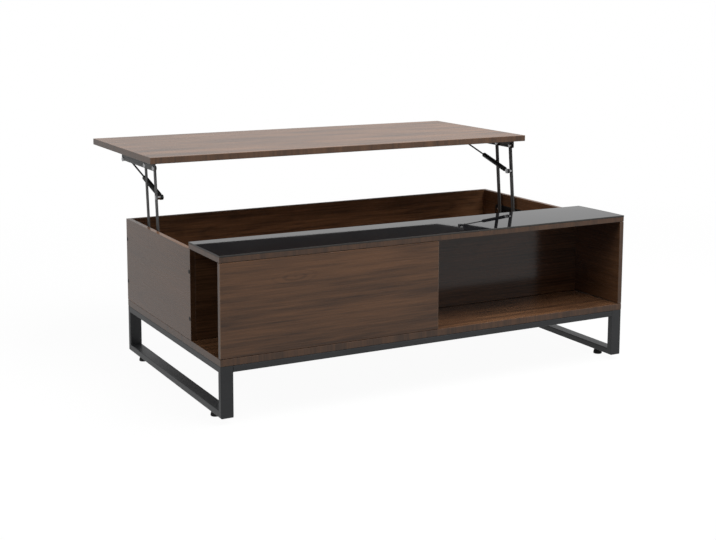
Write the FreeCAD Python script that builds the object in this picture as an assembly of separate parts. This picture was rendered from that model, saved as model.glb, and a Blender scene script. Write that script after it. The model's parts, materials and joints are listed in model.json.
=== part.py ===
import FreeCAD, Part
import math
import os

# A low table with a storage box under a top that lifts and shifts to the rear.
# Millimetres, +X along the length, +Y to the rear, +Z up, shown with the top raised.
Vector = FreeCAD.Vector
X_AXIS = Vector(1, 0, 0)
UP = Vector(0, 0, 1)
DOWN = Vector(0, 0, -1)
SIDES = (("left", -1), ("right", 1))
PARALLEL = 1e-6

# Carcass boards
length = 1100.0
depth = 624.0
board = 16.0
panel = 12.0
box_height = 212.0
niche_depth = 175.0
front_panel_length = 550.0
shelf_thick = 12.0
glass_thick = 4.0
glass_arris = 0.8
shelf_lap = 8.0

# Lift top
top_overhang = 27.0
top_thick = 16.0
top_gap = 2.0
close_gap = 0.5

# Leg frame of flat tube
leg_height = 116.0
tube_wide = 30.0
tube_deep = 15.0
tube_wall = 1.5
tube_corner = 2.0

# Levelling feet
foot_height = 14.0
foot_radius = 11.0
foot_neck_radius = 8.5
foot_rim = 4.0
foot_inset = 70.0
foot_gap = 0.2
stud_radius = 4.0
stud_seat = 4.0
stud_headroom = 1.0
foot_insert_radius = 5.5
foot_insert_length = 10.0
foot_flange_radius = 7.5
foot_flange_thick = 1.0

# Parallel arms: how they lean from upright, to the rear when open and to the front when closed
open_angle = 6.0
closed_angle = 72.5
arm_width = 13.0
arm_thick = 3.0
pivot_spacing = 66.0
pivot_offset = 77.5
pivot_drop = 15.0
pivot_setback = 38.0
arm_gap = 0.4

# Rivets that the arms turn on
pivot_radius = 4.0
head_radius = 6.5
head_height = 2.8
head_clear = 5.2
collar_radius = 7.0
rivet_play = 0.1
fit_gap = 0.05

# Base plates on the end panels
plate_thick = 2.5
plate_round = 8.0
plate_front = 30.0
plate_rear = 40.0
plate_below = 26.0
plate_above = 50.0
plate_screw_inset = 12.0
stop_height = 34.0
stop_radius = 4.0
stop_gap = 0.3
stop_collar = 6.0
stop_collar_thick = 1.5

# Top rails, an L section under the lift top
rail_length = 256.0
rail_lead = 12.5
rail_depth = 22.0
rail_flange = 22.0
rail_thick = 2.0
rail_front_round = 5.0
rail_rear_round = 10.0
rail_screw_inset = 20.0
rail_screw_count = 4

# Gas struts between the front arms and the rear ends of the rails
strut_pick = 72.0
strut_end_inset = 8.0
strut_drop = 4.0
strut_gap = 1.5
cylinder_radius = 6.5
cylinder_bore = 5.2
cylinder_end_wall = 4.0
eye_radius = 6.5
eye_width = 6.0
eye_play = 0.3
neck_gap = 0.3
neck_length = 14.0
gland_plug = 10.0
gland_flange = 3.0
piston_length = 6.0
piston_play = 1.0
rod_radius = 2.2
rod_collar_radius = 4.0
rod_collar_length = 8.0
rod_neck_length = 8.0
pin_shoulder = 5.5
pin_head_height = 2.0
pin_tail = 1.5
clip_radius = 6.5
clip_thick = 1.0
open_pivot_gap = 0.3

# Wood screws of the plates and rails
screw_radius = 2.0
screw_depth = 9.0
screw_head_radius = 4.0
screw_head_height = 2.4

# Panel screws under flush caps, above the bottom board and below the top of the walls
panel_screw_rise = 50.0
panel_screw_drop = 53.0
panel_screw_radius = 2.5
panel_screw_reach = 34.0
panel_screw_head_radius = 4.0
panel_screw_head_height = 4.0
cap_radius = 5.0
cap_thick = 1.0

# Dowels between the boards
dowel_radius = 3.0
dowel_length = 30.0
dowel_into_board = 8.0
dowel_end_gap = 0.5
dowel_inset = 60.0

# Bolts and inserts that hold the leg frame to the bottom board
bolt_radius = 3.0
bolt_head_radius = 5.5
bolt_head_height = 3.5
bolt_inset = 110.0
bolt_clear = 0.25
insert_radius = 4.5
insert_length = 11.0

# Levels and faces that follow from the sizes above
front_y = -depth / 2
rear_y = depth / 2
end_x = length / 2
wall_x = end_x - panel
frame_top = foot_height + leg_height
floor_top = frame_top + board
box_top = floor_top + box_height
shelf_top = box_top + shelf_thick
divider_y = front_y + niche_depth
shelf_rear = divider_y + shelf_lap
back_y = rear_y - panel
partition_x = front_panel_length - end_x

# Layers of the mechanism, measured inwards from an end panel's inner face
rail_outer = head_height + head_clear
rail_inner = rail_outer + rail_thick
arm_outer = rail_inner + arm_gap
arm_inner = arm_outer + arm_thick
head_inner = arm_inner + rivet_play
strut_axis = head_inner + head_height + strut_gap + cylinder_radius
eye_outer = strut_axis - eye_width / 2
eye_inner = strut_axis + eye_width / 2
clip_outer = eye_inner + eye_play
neck_radius = eye_width / 2 - neck_gap
pin_end = clip_outer + clip_thick + pin_tail


def leaning(angle):
    """Direction along an arm, from its base pivot to its upper pivot, in the Y-Z plane."""
    return Vector(0, math.sin(math.radians(angle)), math.cos(math.radians(angle)))


# Pivots of the front arm at x = 0: the base pivots sit behind the middle of the storage box, and the
# closed arm reaches from there to the front of the closed top, which sets where the raised top comes
open_arm = leaning(open_angle)
closed_arm = leaning(-closed_angle)
closed_front = shelf_rear + top_gap
top_depth = rear_y + top_overhang - closed_front
closed_pivot = Vector(0, closed_front + pivot_setback, box_top + close_gap - pivot_drop)
storage_middle = (divider_y + panel + back_y) / 2
base_pivot_y = storage_middle + pivot_offset - pivot_spacing / 2
arm_length = (closed_pivot.y - base_pivot_y) / closed_arm.y
base_pivot = closed_pivot - closed_arm * arm_length
upper_pivot = base_pivot + open_arm * arm_length
next_arm = Vector(0, pivot_spacing, 0)
top_front = upper_pivot.y - pivot_setback
top_rear = top_front + top_depth
top_under = upper_pivot.z + pivot_drop
rail_front = upper_pivot.y - rail_lead
rail_rear = rail_front + rail_length

# Gas strut at x = 0: its ends on the arm and on the rail, and its stroke between open and closed
strut_reach = rail_length - rail_lead - strut_end_inset
strut_end = Vector(0, strut_reach, -strut_drop)
strut_low = upper_pivot - open_arm * strut_pick
strut_high = upper_pivot + strut_end
strut_line = strut_high - strut_low
closed_line = closed_pivot + strut_end - (closed_pivot - closed_arm * strut_pick)
strut_stroke = strut_line.Length - closed_line.Length
strut_way = Vector(strut_line).normalize()
bore_start = neck_length + cylinder_end_wall
bore_end = bore_start + strut_stroke + piston_length + 2 * piston_play + gland_plug
piston_start = bore_end - gland_plug - piston_play - piston_length

pieces = {}


def layer(side, inwards):
    """The x of a layer of the mechanism on one side."""
    return side * (wall_x - inwards)


def at_layer(side, inwards, point):
    """A point of the mechanism's Y-Z plane, moved into one layer."""
    return Vector(layer(side, inwards), point.y, point.z)


def block(x, y, z):
    """A box between two values on each axis."""
    corner = Vector(min(x), min(y), min(z))
    return Part.makeBox(max(x) - corner.x, max(y) - corner.y, max(z) - corner.z, corner)


def pin(origin, way, radius, reach):
    """A plain round bar, also used as the tool for a drilled hole."""
    return Part.makeCylinder(radius, reach, origin, way)


def placed(solid, origin, way):
    """A solid made about +Z, turned to point along a way from an origin."""
    solid.Placement = FreeCAD.Placement(origin, FreeCAD.Rotation(UP, way))
    return solid


def turned(origin, way, steps):
    """A lathe-turned piece: each step is its start and end along the way, and its radius."""
    outline = [Vector(0, 0, steps[0][0])]
    for start, end, radius in steps:
        outline.append(Vector(radius, 0, start))
        outline.append(Vector(radius, 0, end))
    outline.append(Vector(0, 0, steps[-1][1]))
    profile = Part.Face(Part.makePolygon(outline + outline[:1]))
    return placed(profile.revolve(Vector(), UP, 360), origin, way)


def dome(origin, way, radius, height):
    """The rounded head of a rivet."""
    ball = (radius ** 2 + height ** 2) / (2 * height)
    half_turn = math.asin(radius / ball) / 2
    rim = Vector(radius, 0, 0)
    middle = Vector(ball * math.sin(half_turn), 0, height - ball + ball * math.cos(half_turn))
    crown = Vector(0, 0, height)
    sides = [
        Part.LineSegment(Vector(), rim).toShape(),
        Part.Arc(rim, middle, crown).toShape(),
        Part.LineSegment(crown, Vector()).toShape(),
    ]
    profile = Part.Face(Part.Wire(sides))
    return placed(profile.revolve(Vector(), UP, 360), origin, way)


def edges_along(solid, way):
    """The straight edges of a solid that run along a way."""
    return [edge for edge in solid.Edges if edge.tangentAt(edge.FirstParameter).isParallel(way, PARALLEL)]


def link(start, end, half_width, thick):
    """A flat bar with round ends about two pivots, from x = start.x on."""
    along = (end - start).normalize()
    across = X_AXIS.cross(along) * half_width
    cap = along * half_width
    sides = [
        Part.LineSegment(start + across, end + across).toShape(),
        Part.Arc(end + across, end + cap, end - across).toShape(),
        Part.LineSegment(end - across, start - across).toShape(),
        Part.Arc(start - across, start - cap, start + across).toShape(),
    ]
    return Part.Face(Part.Wire(sides)).extrude(X_AXIS * thick)


def spread(low, high, count):
    """Evenly spaced places from low to high."""
    return [low + (high - low) * step / (count - 1) for step in range(count)]


def drill(name, tool):
    """Take a drilled hole out of a named piece."""
    pieces[name] = pieces[name].cut(tool)


def make_boards():
    """The carcass: boards that butt together, with the shelf and its glass on top."""
    inside_x = (-wall_x, wall_x)
    walls_z = (floor_top, box_top)
    pieces["bottom_board"] = block((-end_x, end_x), (front_y, rear_y), (frame_top, floor_top))
    pieces["left_end_panel"] = block((-end_x, -wall_x), (divider_y, rear_y), walls_z)
    pieces["right_end_panel"] = block((wall_x, end_x), (front_y, rear_y), walls_z)
    pieces["back_panel"] = block(inside_x, (back_y, rear_y), walls_z)
    pieces["divider_panel"] = block(inside_x, (divider_y, divider_y + panel), walls_z)
    pieces["front_panel"] = block((-end_x, partition_x), (front_y, front_y + panel), walls_z)
    partition_y = (front_y + panel, divider_y)
    pieces["niche_partition"] = block((partition_x - panel, partition_x), partition_y, walls_z)
    pieces["shelf_board"] = block((-end_x, end_x), (front_y, shelf_rear), (box_top, shelf_top))
    glass = block((-end_x, end_x), (front_y, shelf_rear), (shelf_top, shelf_top + glass_thick))
    rim = [edge for edge in glass.Edges if edge.BoundBox.ZMin > shelf_top + glass_thick / 2]
    pieces["shelf_glass"] = glass.makeChamfer(glass_arris, rim)
    top_z = (top_under, top_under + top_thick)
    pieces["lift_top"] = block((-end_x, end_x), (top_front, top_rear), top_z)


def join_panels():
    """Screws through the end panels into the back and the divider, each under a flush cap."""
    screws = []
    caps = []
    head_start = cap_thick
    head_end = head_start + panel_screw_head_height
    screw_end = panel + panel_screw_reach
    levels = (floor_top + panel_screw_rise, box_top - panel_screw_drop)
    for side_name, side in SIDES:
        for target, panel_y in (("back_panel", back_y), ("divider_panel", divider_y)):
            for level in levels:
                face = Vector(side * end_x, panel_y + panel / 2, level)
                way = X_AXIS * -side
                caps.append(pin(face, way, cap_radius, cap_thick))
                screws.append(turned(face, way, [
                    (head_start, head_end, panel_screw_head_radius),
                    (head_end, screw_end, panel_screw_radius)]))
                hole = turned(face, way, [
                    (0, cap_thick, cap_radius + fit_gap),
                    (cap_thick, head_end, panel_screw_head_radius + fit_gap),
                    (head_end, screw_end + dowel_end_gap, panel_screw_radius + fit_gap)])
                drill(side_name + "_end_panel", hole)
                drill(target, hole)
    pieces["panel_screws"] = Part.makeCompound(screws)
    pieces["screw_caps"] = Part.makeCompound(caps)


def join_dowels():
    """Wooden dowels that stand in the edges of the walls and reach into the boards above and below."""
    front_mid = front_y + panel / 2
    divider_mid = divider_y + panel / 2
    back_mid = back_y + panel / 2
    left_mid = -end_x + panel / 2
    right_mid = end_x - panel / 2
    front_run = (-end_x + dowel_inset, partition_x - dowel_inset)
    wall_run = (-wall_x + dowel_inset, wall_x - dowel_inset)
    left_run = (divider_y + panel + dowel_inset, back_y - dowel_inset)
    right_run = (front_y + dowel_inset, back_y - dowel_inset)
    partition_mid = (partition_x - panel / 2, (front_y + panel + divider_y) / 2)
    below = [("front_panel", x, front_mid) for x in spread(*front_run, 2)]
    below += [("divider_panel", x, divider_mid) for x in spread(*wall_run, 3)]
    below += [("back_panel", x, back_mid) for x in spread(*wall_run, 3)]
    below += [("left_end_panel", left_mid, y) for y in spread(*left_run, 2)]
    below += [("right_end_panel", right_mid, y) for y in spread(*right_run, 2)]
    below += [("niche_partition", *partition_mid)]
    above = [("front_panel", x, front_mid) for x in spread(*front_run, 2)]
    above += [("right_end_panel", right_mid, front_y + dowel_inset)]
    above += [("niche_partition", *partition_mid)]
    dowels = []
    for board_name, joint_z, way, places in (
            ("bottom_board", floor_top, DOWN, below), ("shelf_board", box_top, UP, above)):
        for wall_name, x, y in places:
            tail = Vector(x, y, joint_z) - way * (dowel_length - dowel_into_board)
            dowels.append(pin(tail, way, dowel_radius, dowel_length))
            hole_length = dowel_length + 2 * dowel_end_gap
            hole = pin(tail - way * dowel_end_gap, way, dowel_radius + fit_gap, hole_length)
            drill(board_name, hole)
            drill(wall_name, hole)
    pieces["dowels"] = Part.makeCompound(dowels)


def tube(x, corners, hollow):
    """A mitred length of tube: its outline and its hollow as corners (y, z), drawn out along X."""
    bars = []
    for inset, points in ((0, corners), (tube_wall, hollow)):
        outline = [Vector(min(x) + inset, y, z) for y, z in points]
        face = Part.Face(Part.makePolygon(outline + outline[:1]))
        bars.append(face.extrude(X_AXIS * (max(x) - min(x) - 2 * inset)))
    outside, inside = bars
    along = Vector(0, *corners[1]) - Vector(0, *corners[0])
    return outside.makeFillet(tube_corner, edges_along(outside, along)).cut(inside)


def loop_corners(inset):
    """The four corners of a leg loop's rectangle, drawn in by an inset, from front bottom round."""
    low = foot_height + inset
    high = frame_top - inset
    front = front_y + inset
    rear = rear_y - inset
    return [(front, low), (rear, low), (rear, high), (front, high)]


def make_leg_frame():
    """Two closed loops of mitred tube, and the rails between them under the bottom board."""
    outer = loop_corners(0)
    inner = loop_corners(tube_deep)
    hollow_outer = loop_corners(tube_wall)
    hollow_inner = loop_corners(tube_deep - tube_wall)
    for side_name, side in SIDES:
        span = (side * end_x, side * (end_x - tube_wide))
        for turn, bar in enumerate(("foot_bar", "rear_post", "top_bar", "front_post")):
            after = (turn + 1) % len(outer)
            corners = [outer[turn], outer[after], inner[after], inner[turn]]
            hollow = [hollow_outer[turn], hollow_outer[after], hollow_inner[after], hollow_inner[turn]]
            pieces[side_name + "_" + bar] = tube(span, corners, hollow)
    reach = end_x - tube_wide
    levels = (frame_top - tube_deep, frame_top)
    hollow_levels = (frame_top - tube_deep + tube_wall, frame_top - tube_wall)
    for rail_name, face, way in (("front_rail", front_y, 1), ("rear_rail", rear_y, -1)):
        outside = block((-reach, reach), (face, face + way * tube_wide), levels)
        hollow_y = (face + way * tube_wall, face + way * (tube_wide - tube_wall))
        inside = block((-reach, reach), hollow_y, hollow_levels)
        pieces[rail_name] = outside.makeFillet(tube_corner, edges_along(outside, X_AXIS)).cut(inside)


def bolt_leg_frame():
    """Bolts from below, through the top bars and rails, into inserts in the bottom board."""
    bar_x = end_x - tube_wide / 2
    rail_y = depth / 2 - tube_wide / 2
    places = []
    for side_name, side in SIDES:
        for y in (front_y + bolt_inset, rear_y - bolt_inset):
            places.append((side_name + "_top_bar", side * bar_x, y))
        for rail_name, way in (("front_rail", -1), ("rear_rail", 1)):
            places.append((rail_name, side * (end_x - tube_wide - bolt_inset), way * rail_y))
    bolts = []
    inserts = []
    for bar, x, y in places:
        under = Vector(x, y, frame_top - tube_deep)
        joint = Vector(x, y, frame_top)
        bolts.append(turned(under, UP, [
            (-bolt_head_height, 0, bolt_head_radius),
            (0, tube_deep + insert_length, bolt_radius)]))
        drill(bar, pin(under, UP, bolt_radius + bolt_clear, tube_deep))
        sleeve = pin(joint, UP, insert_radius, insert_length)
        inserts.append(sleeve.cut(pin(joint, UP, bolt_radius + fit_gap, insert_length)))
        drill("bottom_board", pin(joint, UP, insert_radius + fit_gap, insert_length + dowel_end_gap))
    pieces["frame_bolts"] = Part.makeCompound(bolts)
    pieces["frame_inserts"] = Part.makeCompound(inserts)


def make_feet():
    """Round feet on threaded studs, screwed into flanged inserts in the foot bars."""
    pad_top = foot_height - foot_flange_thick - foot_gap
    stud_top = foot_height + tube_deep - tube_wall - stud_headroom
    inserts = []
    for side_name, side in SIDES:
        for end_name, way in (("front", -1), ("rear", 1)):
            name = end_name + "_" + side_name + "_foot"
            ground = Vector(side * (end_x - tube_wide / 2), way * (depth / 2 - foot_inset), 0)
            under = ground + UP * foot_height
            stud_bottom = ground + UP * stud_seat
            rim = pin(ground, UP, foot_radius, foot_rim)
            shoulder = ground + UP * foot_rim
            cone = Part.makeCone(foot_radius, foot_neck_radius, pad_top - foot_rim, shoulder, UP)
            seat = pin(stud_bottom, UP, stud_radius + fit_gap, pad_top)
            pieces[name + "_pad"] = rim.fuse(cone).removeSplitter().cut(seat)
            pieces[name + "_stud"] = pin(stud_bottom, UP, stud_radius, stud_top - stud_seat)
            insert = turned(under, UP, [
                (-foot_flange_thick, 0, foot_flange_radius),
                (0, foot_insert_length, foot_insert_radius)])
            bore_reach = foot_insert_length + foot_flange_thick
            bore = pin(under - UP * foot_flange_thick, UP, stud_radius + fit_gap, bore_reach)
            inserts.append(insert.cut(bore))
            drill(side_name + "_foot_bar", pin(under, UP, foot_insert_radius + fit_gap, tube_wall))
    pieces["foot_inserts"] = Part.makeCompound(inserts)


def wood_screw(face, way, through):
    """A pan-head screw seated on a plate that lies on the wood, and the hole that it needs."""
    screw = turned(face, way, [
        (-through - screw_head_height, -through, screw_head_radius),
        (-through, screw_depth, screw_radius)])
    hole_length = through + screw_depth + dowel_end_gap
    return screw, pin(face - way * through, way, screw_radius + fit_gap, hole_length)


def make_base_plates():
    """Plates on the end panels that carry the lower pivots and the stops of the rear arms."""
    rivets = []
    stops = []
    screws = []
    rear_pivot = base_pivot + next_arm
    side_step = arm_width / 2 + stop_radius + stop_gap
    stop = rear_pivot + open_arm * stop_height + Vector(0, open_arm.z, -open_arm.y) * side_step
    y = (base_pivot.y - plate_front, rear_pivot.y + plate_rear)
    z = (base_pivot.z - plate_below, base_pivot.z + plate_above)
    screw_y = (y[0] + plate_screw_inset, y[1] - plate_screw_inset)
    screw_z = (z[0] + plate_screw_inset, z[1] - plate_screw_inset)
    for side_name, side in SIDES:
        inwards = X_AXIS * -side
        name = side_name + "_base_plate"
        plate = block((layer(side, 0), layer(side, plate_thick)), y, z)
        pieces[name] = plate.makeFillet(plate_round, edges_along(plate, X_AXIS))
        for pivot in (base_pivot, rear_pivot):
            wall = at_layer(side, 0, pivot)
            shaft = turned(wall, inwards, [
                (0, plate_thick, pivot_radius),
                (plate_thick, arm_outer - rivet_play, collar_radius),
                (arm_outer - rivet_play, head_inner, pivot_radius)])
            head = dome(wall + inwards * head_inner, inwards, head_radius, head_height)
            rivets.append(shaft.fuse(head))
            drill(name, pin(wall, inwards, pivot_radius + fit_gap, plate_thick))
        wall = at_layer(side, 0, stop)
        stops.append(turned(wall, inwards, [
            (0, plate_thick, stop_radius),
            (plate_thick, plate_thick + stop_collar_thick, stop_collar),
            (plate_thick + stop_collar_thick, head_inner, stop_radius)]))
        drill(name, pin(wall, inwards, stop_radius + fit_gap, plate_thick))
        for at_y in screw_y:
            for at_z in screw_z:
                face = Vector(side * wall_x, at_y, at_z)
                screw, hole = wood_screw(face, X_AXIS * side, plate_thick)
                screws.append(screw)
                drill(name, hole)
                drill(side_name + "_end_panel", hole)
    pieces["base_pivot_rivets"] = Part.makeCompound(rivets)
    pieces["stop_pins"] = Part.makeCompound(stops)
    pieces["base_screws"] = Part.makeCompound(screws)


def make_arms():
    """Four flat bars: a front and a rear one on each side, equal and parallel."""
    for side_name, side in SIDES:
        start_x = min(layer(side, arm_outer), layer(side, arm_inner))
        for arm_name, shift in (("front_arm", Vector()), ("rear_arm", next_arm)):
            low = base_pivot + shift
            high = upper_pivot + shift
            low.x = high.x = start_x
            bar = link(low, high, arm_width / 2, arm_thick)
            for pivot in (low, high):
                bar = bar.cut(pin(pivot, X_AXIS, pivot_radius + fit_gap, arm_thick))
            pieces[side_name + "_" + arm_name] = bar
        pick = Vector(start_x, strut_low.y, strut_low.z)
        drill(side_name + "_front_arm", pin(pick, X_AXIS, pivot_radius + fit_gap, arm_thick))


def make_rails():
    """L-section rails screwed under the lift top, with the upper pivots and the struts' rivets."""
    pivots = []
    end_rivets = []
    screws = []
    rail_y = (rail_front, rail_rear)
    rail_low = top_under - rail_depth
    screw_run = (rail_front + rail_screw_inset, rail_rear - rail_screw_inset)
    screw_places = spread(*screw_run, rail_screw_count)
    for side_name, side in SIDES:
        name = side_name + "_top_rail"
        inwards = X_AXIS * -side
        edge_x = layer(side, rail_outer)
        web = block((edge_x, layer(side, rail_inner)), rail_y, (rail_low, top_under))
        flange_x = (edge_x, layer(side, rail_outer + rail_flange))
        flange = block(flange_x, rail_y, (top_under - rail_thick, top_under))
        for end_y, radius in ((rail_front, rail_front_round), (rail_rear, rail_rear_round)):
            web = web.makeFillet(radius, [
                edge for edge in edges_along(web, X_AXIS)
                if edge.CenterOfMass.isEqual(Vector(edge.CenterOfMass.x, end_y, rail_low), PARALLEL)])
        pieces[name] = web.fuse(flange).removeSplitter()
        for pivot in (upper_pivot, upper_pivot + next_arm):
            outside = at_layer(side, rail_outer, pivot)
            shaft = pin(outside, inwards, pivot_radius, head_inner - rail_outer)
            outer_head = dome(outside, -inwards, head_radius, head_height)
            inner_head = dome(at_layer(side, head_inner, pivot), inwards, head_radius, head_height)
            pivots.append(shaft.fuse([outer_head, inner_head]))
            drill(name, pin(outside, inwards, pivot_radius + fit_gap, rail_thick))
        outside = at_layer(side, rail_outer, strut_high)
        shaft = pin(outside, inwards, pivot_radius, rail_thick)
        end_rivets.append(shaft.fuse(dome(outside, -inwards, head_radius, head_height)))
        drill(name, pin(outside, inwards, pivot_radius + fit_gap, rail_thick))
        for at_y in screw_places:
            face = Vector(layer(side, rail_outer + rail_flange / 2), at_y, top_under)
            screw, hole = wood_screw(face, UP, rail_thick)
            screws.append(screw)
            drill(name, hole)
            drill("lift_top", hole)
    pieces["upper_pivot_rivets"] = Part.makeCompound(pivots)
    pieces["rail_end_rivets"] = Part.makeCompound(end_rivets)
    pieces["rail_screws"] = Part.makeCompound(screws)


def strut_eye(side, point):
    """The flat ring at a strut's end, and the tool for its bore."""
    start = at_layer(side, strut_axis, point) - X_AXIS * (eye_width / 2)
    ring = pin(start, X_AXIS, eye_radius, eye_width)
    return ring, pin(start, X_AXIS, pivot_radius + fit_gap, eye_width)


def strut_clip(side, point):
    """The snap ring that keeps an eye on its pin."""
    start = at_layer(side, clip_outer, point)
    inwards = X_AXIS * -side
    return pin(start, inwards, clip_radius, clip_thick).cut(
        pin(start, inwards, pivot_radius + fit_gap, clip_thick))


def make_struts():
    """Gas struts: cylinder, gland and sliding rod, on pins at the front arm and at the rail's end."""
    low_pins = []
    high_pins = []
    low_clips = []
    high_clips = []
    glands = []
    collar_end = strut_line.Length - rod_neck_length
    collar_start = collar_end - rod_collar_length
    for side_name, side in SIDES:
        inwards = X_AXIS * -side
        foot = at_layer(side, strut_axis, strut_low)
        low_ring, low_bore = strut_eye(side, strut_low)
        high_ring, high_bore = strut_eye(side, strut_high)
        body = turned(foot, strut_way, [
            (0, neck_length, neck_radius),
            (neck_length, bore_end, cylinder_radius)])
        bore = pin(foot + strut_way * bore_start, strut_way, cylinder_bore, bore_end - bore_start)
        pieces[side_name + "_gas_cylinder"] = body.fuse(low_ring).cut(low_bore).cut(bore)
        gland = turned(foot, strut_way, [
            (bore_end - gland_plug, bore_end, cylinder_bore - fit_gap),
            (bore_end, bore_end + gland_flange, cylinder_radius)])
        glands.append(gland.cut(pin(foot, strut_way, rod_radius + fit_gap, strut_line.Length)))
        rod = turned(foot, strut_way, [
            (piston_start, piston_start + piston_length, cylinder_bore - fit_gap),
            (piston_start + piston_length, collar_start, rod_radius),
            (collar_start, collar_end, rod_collar_radius),
            (collar_end, strut_line.Length, neck_radius)])
        pieces[side_name + "_gas_rod"] = rod.fuse(high_ring).cut(high_bore)
        on_arm = at_layer(side, arm_outer, strut_low)
        low_pin = turned(on_arm, inwards, [
            (0, arm_thick, pivot_radius),
            (arm_thick, eye_outer - eye_play - arm_outer, pin_shoulder),
            (eye_outer - eye_play - arm_outer, pin_end - arm_outer, pivot_radius)])
        low_pins.append(low_pin.fuse(dome(on_arm, -inwards, pin_shoulder, pin_head_height)))
        by_rail = rail_inner + open_pivot_gap
        high_pins.append(turned(at_layer(side, by_rail, strut_high), inwards, [
            (0, eye_outer - eye_play - by_rail, pin_shoulder),
            (eye_outer - eye_play - by_rail, pin_end - by_rail, pivot_radius)]))
        low_clips.append(strut_clip(side, strut_low))
        high_clips.append(strut_clip(side, strut_high))
    pieces["strut_arm_pins"] = Part.makeCompound(low_pins)
    pieces["strut_rod_pins"] = Part.makeCompound(high_pins)
    pieces["arm_pin_clips"] = Part.makeCompound(low_clips)
    pieces["rod_pin_clips"] = Part.makeCompound(high_clips)
    pieces["cylinder_glands"] = Part.makeCompound(glands)


def save_pieces():
    """Write each piece, with the origin on the floor under the middle of the raised table."""
    os.makedirs("parts", exist_ok=True)
    middle = Vector(0, (front_y + top_rear) / 2, 0)
    for name, shape in pieces.items():
        shape.translate(-middle)
        shape.exportStep("parts/" + name + ".step")


make_boards()
join_panels()
join_dowels()
make_leg_frame()
bolt_leg_frame()
make_feet()
make_base_plates()
make_arms()
make_rails()
make_struts()
save_pieces()
print(len(pieces), "pieces, top raised to", round(top_under + top_thick, 1))
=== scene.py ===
# %% [markdown]
# # A lift-top coffee table, dressed around its CAD frame
#
# The table has a walnut-laminate box with an open niche at the front, a black glass shelf over the
# niche, a top that lifts and moves to the rear on four steel arms, and two closed leg loops of flat tube.
# The CAD frame gives every size and every pivot. This script gives each piece its rounded edges and its
# finish, and never moves what the frame has placed.

# %% Load the frame
import json
import math

import bmesh
import bpy
from mathutils import Matrix, Vector


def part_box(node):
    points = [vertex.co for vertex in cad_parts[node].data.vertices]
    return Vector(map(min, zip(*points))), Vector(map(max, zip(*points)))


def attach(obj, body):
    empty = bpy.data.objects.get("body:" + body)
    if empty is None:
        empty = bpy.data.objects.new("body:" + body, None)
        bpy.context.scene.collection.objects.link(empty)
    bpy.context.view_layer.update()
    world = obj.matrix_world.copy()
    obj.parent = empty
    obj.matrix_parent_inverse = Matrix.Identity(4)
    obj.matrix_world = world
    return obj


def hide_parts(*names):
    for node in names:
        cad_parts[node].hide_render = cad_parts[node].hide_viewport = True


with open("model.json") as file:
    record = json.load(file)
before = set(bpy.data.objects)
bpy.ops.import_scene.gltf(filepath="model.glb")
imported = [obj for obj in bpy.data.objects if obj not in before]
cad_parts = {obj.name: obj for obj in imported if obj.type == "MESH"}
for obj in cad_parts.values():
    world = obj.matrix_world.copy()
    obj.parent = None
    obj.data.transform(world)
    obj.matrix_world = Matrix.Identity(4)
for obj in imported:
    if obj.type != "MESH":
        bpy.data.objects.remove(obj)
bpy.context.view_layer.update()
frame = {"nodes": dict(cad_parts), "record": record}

scene = bpy.context.scene
scene.view_settings.view_transform = "Standard"

# %% [markdown]
# ## The camera
#
# The table is seen from the left of its front, a little above the raised top, and a shifted lens keeps its
# upright edges parallel. A camera can be turned down with no shift, which makes the legs lean, or kept
# level with a large shift, which would push the table out of every other view. A small shift with a small
# dip lies between the two, and its place comes from fitting the table's known corners.

# %% Place the camera
CAMERA_PLACE = Vector((-1.5583, -2.9333, 0.9269))
CAMERA_TURN = math.radians(28.383)
CAMERA_DIP = math.radians(7.832)
CAMERA_ROLL = math.radians(0.18)
CAMERA_LENS = 64.28
CAMERA_SHIFT = -0.14
SENSOR_WIDTH = 36.0

camera_data = bpy.data.cameras.new("table_camera")
camera_data.sensor_width = SENSOR_WIDTH
camera_data.lens = CAMERA_LENS
camera_data.shift_y = CAMERA_SHIFT
camera = bpy.data.objects.new("table_camera", camera_data)
turn = Matrix.Rotation(-CAMERA_TURN, 4, "Z") @ Matrix.Rotation(math.pi / 2 - CAMERA_DIP, 4, "X")
camera.matrix_world = Matrix.Translation(CAMERA_PLACE) @ turn @ Matrix.Rotation(CAMERA_ROLL, 4, "Z")
scene.collection.objects.link(camera)
scene.camera = camera
print("camera", [round(value, 3) for value in CAMERA_PLACE], "lens", CAMERA_LENS)

# %% [markdown]
# ## Nodes as expressions
#
# Finishes and patterns are node trees. Adding and linking each node by hand makes long scripts, so two
# small classes do it. The first is a `Wire`, which is one output of a node. Arithmetic on wires adds Math
# nodes, so a mask can be written as `1 - pores * 0.4`.

# %% A wire: one output of a node
class Wire:
    """An output socket of a node. Operators on it add Math nodes to the same tree."""

    def __init__(self, bench, socket):
        self.bench = bench
        self.socket = socket

    def math(self, operation, *values):
        return self.bench.add("ShaderNodeMath", {"operation": operation}, dict(enumerate(values)))

    def __add__(self, other):
        return self.math("ADD", self, other)

    def __radd__(self, other):
        return self.math("ADD", other, self)

    def __sub__(self, other):
        return self.math("SUBTRACT", self, other)

    def __rsub__(self, other):
        return self.math("SUBTRACT", other, self)

    def __mul__(self, other):
        return self.math("MULTIPLY", self, other)

    def __rmul__(self, other):
        return self.math("MULTIPLY", other, self)

    def __pow__(self, other):
        return self.math("POWER", self, other)

    def __rpow__(self, other):
        return self.math("POWER", other, self)

    def sine(self):
        return self.math("SINE", self)

    def cosine(self):
        return self.math("COSINE", self)


print("wires take + - * **, sine and cosine")

# %% [markdown]
# The second class is a `Bench`, a tree under construction. Its `add` makes any node: the settings come
# first, because they can change which sockets the node has, and then the values or wires of its sockets.
# The other methods only give names to the few nodes that nearly every finish uses.

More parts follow.
